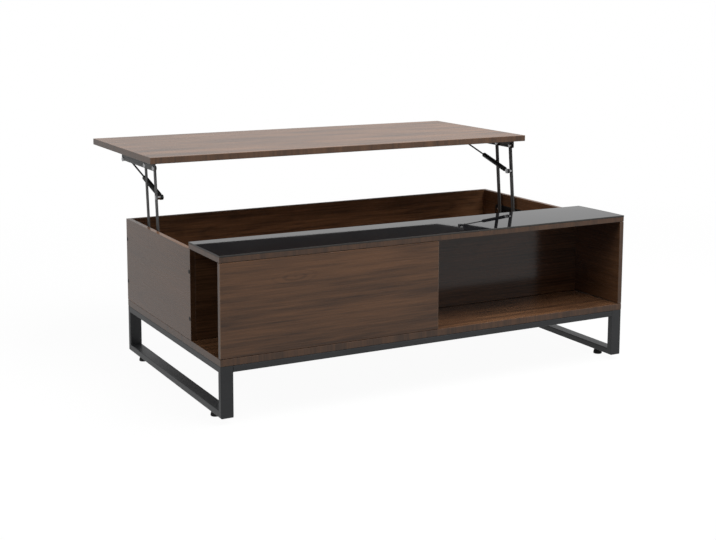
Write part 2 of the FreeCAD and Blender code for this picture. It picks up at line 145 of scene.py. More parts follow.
# %% A bench: a tree under construction
class Bench:
    """A node tree under construction."""

    def __init__(self, tree):
        self.tree = tree
        tree.nodes.clear()

    def add(self, kind, settings=None, inputs=None, output=0):
        """Add a node: its settings first, then the values or wires of its sockets."""
        node = self.tree.nodes.new(kind)
        for name, value in (settings or {}).items():
            setattr(node, name, value)
        for key, value in (inputs or {}).items():
            if isinstance(value, Wire):
                self.tree.links.new(value.socket, node.inputs[key])
            else:
                node.inputs[key].default_value = value
        return Wire(self, node.outputs[output]) if node.outputs else node

    def ray(self, kind):
        """1 for light rays of one kind, such as those seen by the camera, and 0 for the others."""
        return self.add("ShaderNodeLightPath", None, None, kind)

    def place(self):
        """Object coordinates, in metres."""
        return self.add("ShaderNodeTexCoord", None, None, "Object")

    def layer(self, name, output="Vector"):
        """An attribute of the mesh that the finish lies on."""
        return self.add("ShaderNodeAttribute", {"attribute_name": name}, None, output)

    def axis(self, vector, name):
        """One axis of a vector."""
        return self.add("ShaderNodeSeparateXYZ", None, {0: vector}, name)

    def length(self, vector):
        """The length of a vector."""
        return self.add("ShaderNodeVectorMath", {"operation": "LENGTH"}, {0: vector}, "Value")

    def scaled(self, vector, scale):
        """A vector times a scale on each axis."""
        return self.add("ShaderNodeVectorMath", {"operation": "MULTIPLY"}, {0: vector, 1: scale})

    def noise(self, vector, scale, detail=2.0, roughness=0.5):
        """Soft noise from about 0 to 1, at a scale on each axis."""
        place = self.scaled(vector, scale)
        inputs = {"Vector": place, "Scale": 1.0, "Detail": detail, "Roughness": roughness}
        return self.add("ShaderNodeTexNoise", None, inputs)

    def ramp(self, value, low, high):
        """A smooth step from 0 at low to 1 at high."""
        inputs = {"Value": value, "From Min": low, "From Max": high}
        return self.add("ShaderNodeMapRange", {"interpolation_type": "SMOOTHSTEP"}, inputs)

    def blend(self, factor, first, second):
        """A colour from first to second as the factor goes from 0 to 1."""
        return self.add("ShaderNodeMix", {"data_type": "RGBA"}, {0: factor, 6: first, 7: second}, 2)

    def bump(self, height, depth, strength):
        """A normal that follows a height of that depth in metres."""
        return self.add("ShaderNodeBump", None, {"Height": height, "Distance": depth, "Strength": strength})


print("bench methods:", ", ".join(name for name in vars(Bench) if not name.startswith("_")))

# %% [markdown]
# Every finish on the table is one Principled shader in a material of its own. Two short helpers open such
# a material and close it, and a third one writes a colour, since Blender wants four numbers for it.

# %% Open and close a finish
def finish_bench(name):
    """A new material and its empty bench."""
    material = bpy.data.materials.new(name)
    material.use_nodes = True
    return material, Bench(material.node_tree)


def coat(bench, sockets):
    """Close a finish with one Principled shader."""
    shader = bench.add("ShaderNodeBsdfPrincipled", None, sockets)
    bench.add("ShaderNodeOutputMaterial", None, {"Surface": shader})


def opaque(red, green, blue):
    """A colour that hides what is behind it."""
    return (red, green, blue, 1.0)


WHITE = opaque(1.0, 1.0, 1.0)
print("white is", WHITE)

# %% [markdown]
# ## The studio
#
# The table stands in a pale room. One bright world would do for that, but it would also fill the niche
# and the box with light. So the world gives only a little light, and Light Path tells rays apart: the
# camera sees pure white behind the table, and mirrors such as the glass see a pale grey room.

# %% The pale room
ROOM_LIGHT = 0.06
ROOM_IN_MIRRORS = 0.63

world = bpy.data.worlds.new("pale_room")
scene.world = world
world.use_nodes = True
room = Bench(world.node_tree)
straight = room.ray("Is Camera Ray") + room.ray("Is Transmission Ray")
mirrored = room.ray("Is Glossy Ray")
level = ROOM_LIGHT + straight * (1 - ROOM_LIGHT) + mirrored * (ROOM_IN_MIRRORS - ROOM_LIGHT)
glow = room.add("ShaderNodeBackground", None, {"Color": WHITE, "Strength": level})
room.add("ShaderNodeOutputWorld", None, {"Surface": glow})
print("room lights with", ROOM_LIGHT, "and mirrors as", ROOM_IN_MIRRORS)

# %% [markdown]
# Three softboxes give the light. The large one hangs over the front right, so the lift top and the floor
# of the niche are bright and the walls of the niche stay dark. A small one on the left lights the end of
# the table, and one behind it keeps the back from going black. Large square lamps make soft shadows. They
# are hidden from mirrors, because the glass of the real table shows no lamp.

# %% Softboxes
# Each softbox: its side in metres, its power in watts and its place.
SOFTBOXES = {
    "front_softbox": (2.2, 128.0, Vector((0.6, -0.85, 2.5))),
    "left_softbox": (1.6, 29.0, Vector((-2.6, -0.6, 1.7))),
    "rear_softbox": (1.6, 32.0, Vector((0.3, 3.0, 1.5))),
}
SOFTBOX_AIM = Vector((0.0, -0.1, 0.35))

for name, (size, watts, place) in SOFTBOXES.items():
    lamp = bpy.data.lights.new(name, "AREA")
    lamp.shape = "SQUARE"
    lamp.size = size
    lamp.energy = watts
    softbox = bpy.data.objects.new(name, lamp)
    softbox.location = place
    softbox.rotation_euler = (SOFTBOX_AIM - place).to_track_quat("-Z", "Y").to_euler()
    scene.collection.objects.link(softbox)
    softbox.visible_glossy = False
print(len(SOFTBOXES), "softboxes")

# %% [markdown]
# The floor is one large pale square that runs out of the picture. Lit by the lamps alone it would be grey,
# so the camera and mirrors see it with a share of plain white mixed in, which grows with the distance from
# the table. The rest of its shading keeps a soft shadow. To all other rays it is dark, so that little
# light bounces up into the niche.

# %% The floor
FLOOR_HALF = 40.0
FLOOR_PALE = opaque(0.8, 0.8, 0.8)
FLOOR_BOUNCE = opaque(0.09, 0.09, 0.09)
FLOOR_GLOW = 0.955
FLOOR_FADE = (1.2, 3.0)

floor_finish, paint = finish_bench("pale_floor")
seen = paint.ray("Is Camera Ray")
glanced = paint.ray("Is Glossy Ray")
matt = paint.add("ShaderNodeBsdfDiffuse", None, {"Color": paint.blend(seen, FLOOR_BOUNCE, FLOOR_PALE)})
away = paint.length(paint.place())
share = FLOOR_GLOW + paint.ramp(away, *FLOOR_FADE) * (1 - FLOOR_GLOW)
shine = seen + glanced * ROOM_IN_MIRRORS
white = paint.add("ShaderNodeEmission", None, {"Color": WHITE, "Strength": shine})
mixed = paint.add("ShaderNodeMixShader", None, {0: (seen + glanced) * share, 1: matt, 2: white})
paint.add("ShaderNodeOutputMaterial", None, {"Surface": mixed})

floor_mesh = bpy.data.meshes.new("pale_floor")
corners = [(x * FLOOR_HALF, y * FLOOR_HALF, 0) for x, y in ((-1, -1), (1, -1), (1, 1), (-1, 1))]
floor_mesh.from_pydata(corners, [], [(0, 1, 2, 3)])
floor_mesh.materials.append(floor_finish)
floor = bpy.data.objects.new("pale_floor", floor_mesh)
scene.collection.objects.link(floor)
print("floor", 2 * FLOOR_HALF, "m across")

# %% [markdown]
# ## Walnut laminate
#
# The boards are particle board under a printed walnut laminate with a satin lacquer. An image of the print
# would be the usual way, but a pattern of noise needs no file and never repeats. Noise that is stretched
# along the grain gives clouds, bands, streaks, fibres and short pores. A slow noise sent through a sine
# gives rings, and the distance from a chosen spot sent through a sine gives a slim eye.
#
# The pattern lies in the plane of each face, so it reads layers that the boards carry in their mesh. In
# `grain` are metres along the grain, metres across it, and a number that moves each face to its own part
# of the print. In `eye` is the place seen from the heart of an eye.

# %% Rings and eyes of the print
# Each noise: cycles per metre along the grain, across it and from face to face, then detail and roughness.
PRINT = {
    "cloud": ((2.0, 22.0, 1.0), 2.0, 0.5),
    "band": ((5.0, 56.0, 1.0), 2.0, 0.5),
    "streak": ((6.5, 220.0, 1.0), 3.0, 0.6),
    "fibre": ((9.0, 560.0, 1.0), 3.0, 0.6),
    "pore": ((55.0, 1700.0, 1.0), 1.0, 0.5),
    "figure": ((2.0, 9.0, 1.0), 1.0, 0.5),
    "patch": ((2.3, 8.0, 3.0), 1.0, 0.5),
}
MIDDLE = 0.5
RING_TURNS = 120.0
RING_SWAY = 2.0
RING_STEP = (0.1, 1.0)
PATCH_STEP = (0.5, 0.68)
EYE_SPREAD = (20.0, 70.0, 1.0)
EYE_SWAY = 1.2
EYE_TURNS = 12.0
EYE_STEP = (-0.2, 1.0)
EYE_FADE = (0.3, 1.9)
EYE_BREAK = (0.3, 0.6)


def ring_figure(bench, noises):
    """Fine rings that sway with the streaks and show only in patches."""
    waves = (noises["figure"] * RING_TURNS + noises["streak"] * RING_SWAY).sine()
    return bench.ramp(waves, *RING_STEP) * bench.ramp(noises["patch"], *PATCH_STEP)


def eye_figure(bench, noises):
    """Slim closed arcs that fade away from the heart of an eye and are broken up by the bands."""
    reach = bench.length(bench.scaled(bench.layer("eye"), EYE_SPREAD))
    reach = reach + (noises["cloud"] - MIDDLE) * EYE_SWAY
    arcs = bench.ramp((reach * EYE_TURNS).sine(), *EYE_STEP)
    return arcs * (1 - bench.ramp(reach, *EYE_FADE)) * bench.ramp(noises["band"], *EYE_BREAK)


print("print of", len(PRINT), "noises:", ", ".join(PRINT))

# %% [markdown]
# The noises add up to one tone between a dark and a light walnut. A third layer, `drift`, says how strong
# the pattern is on a board. A fourth layer holds what is not print: how far a face is an edge band, which is
# a duller strip than the laminate, whether it is an upright corner of the front panel, which gets a painted
# highlight, a paler colour that stands in for the light its round catches, and how rubbed its lacquer is.
# Walls inside a niche are hardly touched, so their lacquer stays glossier.

# %% The walnut finish
WALNUT_DARK = opaque(0.054, 0.0270, 0.0148)
WALNUT_LIGHT = opaque(0.168, 0.0800, 0.0380)
WALNUT_BAND = opaque(0.070, 0.045, 0.032)
# A paler walnut painted on some upright corners as a highlight.
WALNUT_PAINTED_HIGHLIGHT = opaque(0.260, 0.170, 0.115)
EDGE_BAND_SHARE = 0.5
PORE_STEP = (0.62, 0.72)
MIDDLE_TONE = 0.54
SWINGS = {"cloud": 1.3, "band": 1.3, "streak": 1.8, "fibre": 1.0}
RING_DARK = 0.2
EYE_DARK = 0.45
PORE_DARK = 0.12
SATIN_ROUGH = 0.11
RUBBED_ROUGH = 0.12
BANDED_ROUGH = 0.05
FIBRE_ROUGH = 0.06
PORE_ROUGH = 0.06
FIBRE_RELIEF = 0.6
RELIEF_DEPTH = 0.0001
RELIEF_STRENGTH = 0.1
LACQUER_IOR = 1.5


def walnut_finish():
    """The printed laminate from a board's layers of grain, eye, drift, and edge band, painted highlight and
    rub.
    """
    material, bench = finish_bench("walnut_laminate")
    grain = bench.layer("grain")
    noises = {name: bench.noise(grain, *how) for name, how in PRINT.items()}
    fibre = noises["fibre"]
    pore = bench.ramp(noises["pore"], *PORE_STEP)
    swing = sum((noises[name] - MIDDLE) * share for name, share in SWINGS.items())
    tone = MIDDLE_TONE + swing * bench.layer("drift", "Fac") - pore * PORE_DARK
    tone = tone - ring_figure(bench, noises) * RING_DARK - eye_figure(bench, noises) * EYE_DARK
    wear = bench.layer("wear")
    banded, rounded, rubbed = [bench.axis(wear, name) for name in "XYZ"]
    colour = bench.blend(tone, WALNUT_DARK, WALNUT_LIGHT)
    colour = bench.blend(banded * EDGE_BAND_SHARE, colour, WALNUT_BAND)
    # Upright corners of the listed boards are blended to a paler walnut: a painted highlight of the light
    # that their round catches.
    colour = bench.blend(rounded, colour, WALNUT_PAINTED_HIGHLIGHT)
    rough = SATIN_ROUGH + rubbed * RUBBED_ROUGH + banded * BANDED_ROUGH
    rough = rough + fibre * FIBRE_ROUGH + pore * PORE_ROUGH
    relief = bench.bump(fibre * FIBRE_RELIEF - pore, RELIEF_DEPTH, RELIEF_STRENGTH)
    coat(bench, {"Base Color": colour, "Roughness": rough, "Normal": relief, "IOR": LACQUER_IOR})
    return material


walnut = walnut_finish()
print("finish", walnut.name, len(walnut.node_tree.nodes), "nodes")

# %% [markdown]
# ## Making a piece
#
# A piece is a mesh with its place in its vertices, an object at the origin, a body of the frame to ride
# on and a finish. `skin` closes rows of points into a tube, which is how the leg frame is made, and
# `close_mesh` turns a finished shell into a mesh. `make_piece` does the rest, and hides the CAD solids that
# the piece stands for.

# %% Helpers for meshes and pieces
NODE_BODY = {node: body for body, nodes in frame["record"]["behaviour"]["bodies"].items() for node in nodes}
SMOOTH_BELOW = math.radians(40)


def skin(rings, loop=False):
    """A closed mesh through rings of points: the last ring meets the first, or both ends are capped."""
    shell = bmesh.new()
    rows = [[shell.verts.new(point) for point in ring] for ring in rings]
    pairs = zip(rows, rows[1:] + rows[:1]) if loop else zip(rows, rows[1:])
    for near, far in pairs:
        for step, corner in enumerate(near):
            after = (step + 1) % len(near)
            shell.faces.new((corner, near[after], far[after], far[step]))
    if not loop:
        shell.faces.new(rows[0][::-1])
        shell.faces.new(rows[-1])
    return shell


def close_mesh(name, shell, smooth):
    """Turn a shell into a mesh with outward faces, smooth where it is round."""
    bmesh.ops.recalc_face_normals(shell, faces=shell.faces)
    mesh = bpy.data.meshes.new(name)
    shell.to_mesh(mesh)
    shell.free()
    if smooth:
        mesh.shade_smooth()
        mesh.set_sharp_from_angle(angle=SMOOTH_BELOW)
    return mesh


def make_piece(name, mesh, material, slot, *nodes):
    """Link a mesh as a piece on its nodes' body, in place of those nodes."""
    mesh.materials.clear()
    mesh.materials.append(material)
    piece = bpy.data.objects.new(name, mesh)
    scene.collection.objects.link(piece)
    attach(piece, NODE_BODY[nodes[0]])
    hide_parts(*nodes)
    return piece


print("bodies:", ", ".join(sorted(set(NODE_BODY.values()))))

# %% [markdown]
# ## The boards
#
# Each board is sawn square and its edges are banded, which leaves a small round on every corner. That
# round catches the light as a thin bright line, so a plain box would look wrong from close by. Boards that
# butt against others have no bands and keep a much smaller round.
#
# The grain layers are written face by face. A broad face has its grain along the board, and an edge has
# it across the band, as on bands cut from the same print.

# %% Lay the grain
FLAT_FACE = 0.999
SEED_STEP = 5.3
SHELTERED = ("divider_panel", "niche_partition")
UNBANDED = SHELTERED + ("left_end_panel",)
# Boards whose upright corners get a painted highlight.
PAINTED_HIGHLIGHT_BOARDS = ("front_panel",)
SAWN_EDGES = ("back_panel",)
SAWN = 4.0
DRIFTS = {
    "bottom_board": 1.3, "left_end_panel": 0.35, "right_end_panel": 0.6, "front_panel": 1.0,
    "lift_top": 1.25,
}
# Places of the eyes, along and across the grain. Boards without one have it far away.
EYES = {"front_panel": (-0.37, 0.312), "lift_top": (0.21, 0.12), "back_panel": (0.16, 0.28)}
NO_EYE = (10.0, 10.0)
LAYERS = (
    ("grain", "FLOAT_VECTOR", "CORNER"), ("eye", "FLOAT_VECTOR", "CORNER"),
    ("wear", "FLOAT_VECTOR", "FACE"), ("drift", "FLOAT", "FACE"),
)


def face_wear(node, normal, facing, edge):
    """How far a face is an edge band, an upright corner with a painted highlight, and rubbed."""
    banded = edge and node not in UNBANDED
    upright_corner = abs(normal[facing]) < FLAT_FACE and abs(normal.z) < 1 - FLAT_FACE
    rubbed = SAWN if edge and node in SAWN_EDGES else node not in SHELTERED
    return (banded, upright_corner and node in PAINTED_HIGHLIGHT_BOARDS, rubbed)


def lay_grain(mesh, node, size, along, seed):
    """Write the four layers that the walnut finish reads."""
    for name, kind, domain in LAYERS:
        mesh.attributes.new(name, kind, domain)
    grain, eye, wear, drift = [mesh.attributes[name].data for name, kind, domain in LAYERS]
    eye_along, eye_across = EYES.get(node, NO_EYE)
    thin = min(range(3), key=lambda axis: size[axis])
    for face in mesh.polygons:
        facing = max(range(3), key=lambda axis: abs(face.normal[axis]))
        edge = facing != thin
        run = thin if edge else along
        cross = 3 - facing - run
        side = facing * 2 + (face.normal[facing] > 0)
        part_of_print = (seed * 6 + side) * SEED_STEP
        wear[face.index].vector = face_wear(node, face.normal, facing, edge)
        drift[face.index].value = DRIFTS.get(node, 1.0)
        for corner in face.loop_indices:
            place = mesh.vertices[mesh.loops[corner].vertex_index].co
            grain[corner].vector = (place[run], place[cross], part_of_print)
            eye[corner].vector = (place[run] - eye_along, place[cross] - eye_across, NO_EYE[0] * edge)


print("layers:", ", ".join(name for name, kind, domain in LAYERS))

# %% [markdown]
# A board could be a cube with a Bevel modifier. Here the bevel is run once on the mesh, because the grain
# has to be written on the finished faces. Upright boards end a hair short of the boards above and below
# them, which draws the fine dark joint lines that the real box has.

# %% Boards with rounded edges
EDGE_ROUND = 0.0010
BUTTED_ROUND = 0.0003
EDGE_STEPS = 3
CIRCLE = 0.5
UPRIGHT_ABOVE = 0.02
JOINT_GAP = 0.0007
# The axis along which the grain of each board runs: 0 is the table's length, 1 its depth.
BOARD_RUNS = {
    "bottom_board": 0, "left_end_panel": 1, "right_end_panel": 1, "back_panel": 0, "divider_panel": 0,
    "front_panel": 0, "niche_partition": 1, "shelf_board": 0, "lift_top": 0,
}


def bevelled_box(low, high, width):
    """A closed box with rounded edges."""
    shell = bmesh.new()
    bmesh.ops.create_cube(shell, size=1.0)
    bmesh.ops.scale(shell, vec=high - low, verts=shell.verts)
    bmesh.ops.translate(shell, vec=(high + low) / 2, verts=shell.verts)
    edges = shell.edges[:]
    bmesh.ops.bevel(shell, geom=edges, offset=width, segments=EDGE_STEPS, profile=CIRCLE, affect="EDGES")
    return shell


def make_board(node, along, seed):
    """A finished board in place of its node."""
    low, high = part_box(node)
    if high.z - low.z > UPRIGHT_ABOVE:
        low.z += JOINT_GAP
        high.z -= JOINT_GAP
    width = BUTTED_ROUND if node in UNBANDED else EDGE_ROUND
    name = "finished_" + node
    mesh = close_mesh(name, bevelled_box(low, high, width), False)
    lay_grain(mesh, node, high - low, along, seed)
    return make_piece(name, mesh, walnut, "walnut_board", node)


boards = [make_board(node, along, seed) for seed, (node, along) in enumerate(BOARD_RUNS.items())]
print(len(boards), "boards")

# %% [markdown]
# The underside of the lift top is never touched, so it has no lacquered print. A dull grey paper balances
# the pull of the laminate above it. It could be a thin piece of its own, but a second material on the one
# face below is enough. It matters for the looks, because the glass shelf mirrors it.

# %% Backing paper under the lift top
BACKING = opaque(0.350, 0.345, 0.340)
BACKING_PALE = opaque(0.410, 0.405, 0.400)
FLECK_SCALE = (60.0, 220.0, 60.0)
SOFT_STEP = (0.35, 0.65)
PAPER_ROUGH = 0.75
FLECK_ROUGH = 0.1
PAPER_SHINE = 0.05
LEVEL = 0.9


def backing_finish():
    """Flecked grey paper with hardly any shine."""
    material, bench = finish_bench("backing_paper")
    fleck = bench.noise(bench.place(), FLECK_SCALE, detail=4.0, roughness=0.6)
    colour = bench.blend(bench.ramp(fleck, *SOFT_STEP), BACKING, BACKING_PALE)
    rough = PAPER_ROUGH + fleck * FLECK_ROUGH
    coat(bench, {"Base Color": colour, "Roughness": rough, "Specular IOR Level": PAPER_SHINE})
    return material


lift_board = bpy.data.objects["finished_lift_top"].data
lift_board.materials.append(backing_finish())
underside = [face for face in lift_board.polygons if face.normal.z < -LEVEL]
for face in underside:
    face.material_index = 1
print(len(underside), "face under the lift top has backing paper")

# %% [markdown]
# ## The glass shelf
#
# A sheet of black glass lies on the shelf board. It is a mirror at this low angle: it shows the underside
# of the raised top, the arms and the white room. Fingers leave a faint haze on its polished face, and its
# ground sides are grey and matt. Real glass would need a see-through shader over black paint. A black
# Principled shader with a low roughness looks the same and renders faster.

# %% Polished and ground glass
GLASS_BLACK = opaque(0.004, 0.004, 0.005)
GLASS_DUST = opaque(0.006, 0.006, 0.007)
GROUND_GREY = opaque(0.036, 0.033, 0.030)
GROUND_PALE = opaque(0.050, 0.046, 0.042)
POLISHED_ROUGH = 0.02
GROUND_ROUGH = 0.45
HAZE_SCALE = (9.0, 9.0, 9.0)
HAZE_STEP = (0.4, 0.75)
HAZE_ROUGH = 0.015
GLASS_IOR = 1.5


def glass_finish(name, black, dusty, rough):
    """Black glass with a faint haze."""
    material, bench = finish_bench(name)
    haze = bench.ramp(bench.noise(bench.place(), HAZE_SCALE, detail=3.0), *HAZE_STEP)
    colour = bench.blend(haze, black, dusty)
    coat(bench, {"Base Color": colour, "Roughness": rough + haze * HAZE_ROUGH, "IOR": GLASS_IOR})
    return material


glass = glass_finish("polished_black_glass", GLASS_BLACK, GLASS_DUST, POLISHED_ROUGH)
ground_glass = glass_finish("ground_black_glass", GROUND_GREY, GROUND_PALE, GROUND_ROUGH)
print("finishes", glass.name, ground_glass.name)

# %% [markdown]
# The mirror image of the straight arms is bent in the real glass, so its face is not quite flat. A bow of
# one or two millimetres towards the rear is enough, and it is made as geometry, because a bump in the
# material would not reach the exported mesh. The sheet starts as a fine grid for the polished face. Its rim
# is then extruded three times: over the ground arris, down the side and in under the lower arris.

# %% The bowed sheet
GLASS_ARRIS = 0.0004
GLASS_BOW = 0.0008
BOW_GAIN = 0.0014
BOW_STEPS_LONG = 96
BOW_STEPS_DEEP = 24


def polished_height(x, y, low, high):
    """The height of the polished face, which falls softly to the rear, and a little more to the right."""
    back = (y - low.y) / (high.y - low.y)
    run = (x - low.x) / (high.x - low.x)
    return high.z - (GLASS_BOW + BOW_GAIN * run) * back ** 2


def bowed_sheet(low, high):
    """The sheet's shell: flat below, with ground arrises and a slightly bowed polished face."""
    shell = bmesh.new()
    size, middle = high - low, (high + low) / 2
    inner = size - Vector((2, 2, 0)) * GLASS_ARRIS
    bmesh.ops.create_grid(shell, x_segments=BOW_STEPS_LONG, y_segments=BOW_STEPS_DEEP, size=0.5)
    for vertex in shell.verts:
        x, y = middle.x + vertex.co.x * inner.x, middle.y + vertex.co.y * inner.y
        vertex.co = (x, y, polished_height(x, y, low, high))
    grow = Vector((size.x / inner.x, size.y / inner.y))
    shrink = Vector((inner.x / size.x, inner.y / size.y))
    levels = ((grow, None), (Vector((1, 1)), low.z + GLASS_ARRIS), (shrink, low.z))
    for scale, level in levels:
        bmesh.ops.extrude_edge_only(shell, edges=[edge for edge in shell.edges if edge.is_boundary])
        rim = [edge for edge in shell.edges if edge.is_boundary]
        for vertex in {vertex for edge in rim for vertex in edge.verts}:
            x = middle.x + (vertex.co.x - middle.x) * scale.x
            y = middle.y + (vertex.co.y - middle.y) * scale.y
            vertex.co = (x, y, vertex.co.z - GLASS_ARRIS if level is None else level)
    bmesh.ops.contextual_create(shell, geom=rim)
    return shell


sheet_low, sheet_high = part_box("shelf_glass")
sheet = close_mesh("glass_sheet", bowed_sheet(sheet_low, sheet_high), True)
make_piece("glass_sheet", sheet, glass, "black_glass", "shelf_glass")
sheet.materials.append(ground_glass)
for face in sheet.polygons:
    face.material_index = 0 if face.normal.z > LEVEL else 1
print("glass", [round(value, 3) for value in sheet_high - sheet_low])

# %% [markdown]
# ## The leg frame
#
# Flat steel tube is sawn at 45 degrees, welded into two closed loops, ground flush and powder coated with
# the two rails between them. The baked powder has a fine orange peel, which a bump of tiny noise gives, and
# a slow noise keeps the grey from looking flat. The same finish in other colours serves the mechanism.

# %% Charcoal powder coat
CHARCOAL = opaque(0.026, 0.027, 0.029)
CHARCOAL_WORN = opaque(0.036, 0.037, 0.039)
CLOUD_SCALE = (14.0, 14.0, 14.0)
SPECK_SCALE = (900.0, 900.0, 900.0)
CLOUD_SHARE = 0.7
PEEL_STRENGTH = 0.25
CLOUD_ROUGH = 0.08


def powder_finish(name, colour, worn, rough, peel, shine=0.5):
    """A baked powder or plain coat, with a peel of that depth in metres."""
    material, bench = finish_bench(name)
    place = bench.place()
    cloud = bench.noise(place, CLOUD_SCALE, detail=4.0)
    speck = bench.noise(place, SPECK_SCALE)
    mottle = cloud * CLOUD_SHARE + speck * (1 - CLOUD_SHARE)
    toned = bench.blend(bench.ramp(mottle, *SOFT_STEP), colour, worn)
    relief = bench.bump(speck, peel, PEEL_STRENGTH)
    rough = rough + cloud * CLOUD_ROUGH
    coat(bench, {"Base Color": toned, "Roughness": rough, "Normal": relief, "Specular IOR Level": shine})
    return material


charcoal = powder_finish("charcoal_powder", CHARCOAL, CHARCOAL_WORN, rough=0.38, peel=0.0001)
print("finish", charcoal.name)

# %% [markdown]
# Four bars could be joined with a Boolean to make a loop. It is simpler as one skin, with no seams at the
# mitres: a rounded section is carried round a rectangle, and each point of the section draws a rectangle
# of its own, inset by its depth. A rail is the same section carried straight from end to end.

# %% Leg loops and rails
TUBE_ROUND = 0.002
ROUND_STEPS = 5


def rounded_section(wide, deep, radius):
    """Points round a rectangle with round corners, from (0, 0) to (wide, deep)."""
    right, far = wide - radius, deep - radius
    middles = ((right, far), (radius, far), (radius, radius), (right, radius))
    points = []
    for quarter, (x, y) in enumerate(middles):
        for step in range(ROUND_STEPS):
            angle = math.pi / 2 * (quarter + step / (ROUND_STEPS - 1))
            points.append((x + radius * math.cos(angle), y + radius * math.sin(angle)))
    return points


def make_loop(side):
    """One closed leg loop in place of its four bars."""
    bars = [side + "_" + bar for bar in ("foot_bar", "rear_post", "top_bar", "front_post")]
    foot_low, foot_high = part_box(bars[0])
    top_low, top_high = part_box(bars[2])
    section = rounded_section(foot_high.x - foot_low.x, foot_high.z - foot_low.z, TUBE_ROUND)
    rings = []
    for front, bottom in ((1, 1), (0, 1), (0, 0), (1, 0)):
        ring = []
        for across, inset in section:
            y = foot_low.y + inset if front else foot_high.y - inset
            z = foot_low.z + inset if bottom else top_high.z - inset
            ring.append((foot_low.x + across, y, z))
        rings.append(ring)
    mesh = close_mesh(side + "_leg_loop", skin(rings, loop=True), False)
    return make_piece(side + "_leg_loop", mesh, charcoal, "charcoal_tube", *bars)


def make_rail(node):
    """One straight rail between the loops."""
    low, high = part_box(node)
    section = rounded_section(high.y - low.y, high.z - low.z, TUBE_ROUND)
    rings = [[(x, low.y + across, low.z + up) for across, up in section] for x in (low.x, high.x)]
    mesh = close_mesh("coated_" + node, skin(rings), False)
    return make_piece("coated_" + node, mesh, charcoal, "charcoal_tube", node)


loops = [make_loop(side) for side in ("left", "right")]
rails = [make_rail(node) for node in ("front_rail", "rear_rail")]
print(len(loops), "leg loops and", len(rails), "rails")

# %% [markdown]
# ## Steel, zinc, plastic and beech
#
# The lift mechanism is stamped steel with a thin grey coat, a lighter one on the rails under the top. Its
# rivets and screws are bright zinc, the gas struts are lacquered black, caps and feet are moulded plastic
# and the hidden dowels are beech. All but the zinc are the powder finish with other colours, since they
# differ only in tone, roughness and shine. Zinc is a metal, so its colour is what it mirrors.

# %% Finishes of the mechanism
STEEL = opaque(0.044, 0.044, 0.044)
STEEL_WORN = opaque(0.064, 0.064, 0.063)
RAIL = opaque(0.080, 0.080, 0.080)
RAIL_WORN = opaque(0.108, 0.108, 0.106)
ZINC = opaque(0.47, 0.47, 0.48)
ZINC_DULL = opaque(0.36, 0.36, 0.36)
STRUT = opaque(0.008, 0.008, 0.008)
STRUT_WORN = opaque(0.013, 0.013, 0.013)
PLASTIC = opaque(0.012, 0.012, 0.012)
PLASTIC_WORN = opaque(0.022, 0.022, 0.022)
BEECH = opaque(0.46, 0.30, 0.16)
BEECH_LIGHT = opaque(0.56, 0.40, 0.24)
ZINC_SCALE = (220.0, 220.0, 220.0)
ZINC_STEP = (0.35, 0.7)
ZINC_ROUGH = 0.16
ZINC_CLOUD_ROUGH = 0.1


def zinc_finish():
    """Bright plating with dull clouds."""
    material, bench = finish_bench("bright_zinc_plating")
    cloud = bench.noise(bench.place(), ZINC_SCALE, detail=3.0)
    colour = bench.blend(bench.ramp(cloud, *ZINC_STEP), ZINC, ZINC_DULL)
    rough = ZINC_ROUGH + cloud * ZINC_CLOUD_ROUGH
    coat(bench, {"Base Color": colour, "Metallic": 1.0, "Roughness": rough})
    return material


steel = powder_finish("coated_steel", STEEL, STEEL_WORN, rough=0.5, peel=0.00004)
rail_steel = powder_finish("coated_rail", RAIL, RAIL_WORN, rough=0.5, peel=0.00004)
lacquer = powder_finish("black_lacquer", STRUT, STRUT_WORN, rough=0.45, peel=0.00002, shine=0.2)
plastic = powder_finish("moulded_plastic", PLASTIC, PLASTIC_WORN, rough=0.5, peel=0.0001, shine=0.2)
beech = powder_finish("plain_beech", BEECH, BEECH_LIGHT, rough=0.55, peel=0.0001)
zinc = zinc_finish()
print("finishes", steel.name, rail_steel.name, lacquer.name, plastic.name, beech.name, zinc.name)

# %% [markdown]
# ## Stamped arms, folded rails and struts
#
# The arms and plates are stamped from strip and the top rails are folded from sheet. A press rolls one edge
# over and tumbling takes the burr off the other, so no edge is truly sharp. Each of these pieces starts as
# a merged copy of its CAD solid, so its pivot holes stay in place, and only its sharp edges are eased.

# %% Ease the edges of a solid
SHARP_ABOVE = math.radians(50)
FLAT_BELOW = math.radians(1)
JOIN = 1e-6
EASED_STEPS = 2


def merged_copy(node):
    """A shell like a node's solid, with its loose triangles joined."""
    source = frame["nodes"][node]
    shell = bmesh.new()
    shell.from_mesh(source.data)
    shell.transform(source.matrix_world)
    bmesh.ops.remove_doubles(shell, verts=shell.verts, dist=JOIN)
    return shell


def make_eased(node, width, material, slot):
    """A piece like its node, with its sharp edges rounded."""
    shell = merged_copy(node)
    bmesh.ops.dissolve_limit(shell, angle_limit=FLAT_BELOW, verts=shell.verts, edges=shell.edges)
    sharp = [edge for edge in shell.edges if edge.calc_face_angle(0) > SHARP_ABOVE]
    bmesh.ops.bevel(
        shell, geom=sharp, offset=width, segments=EASED_STEPS, profile=CIRCLE, affect="EDGES",
        clamp_overlap=True)
    name = "eased_" + node
    return make_piece(name, close_mesh(name, shell, True), material, slot, node)


print("edges sharper than", round(math.degrees(SHARP_ABOVE)), "degrees are eased")

# %% [markdown]
# Stamped, folded and turned edges differ a little in their round. The plates on the end panels are black
# like the struts, which keeps them quiet inside the box.

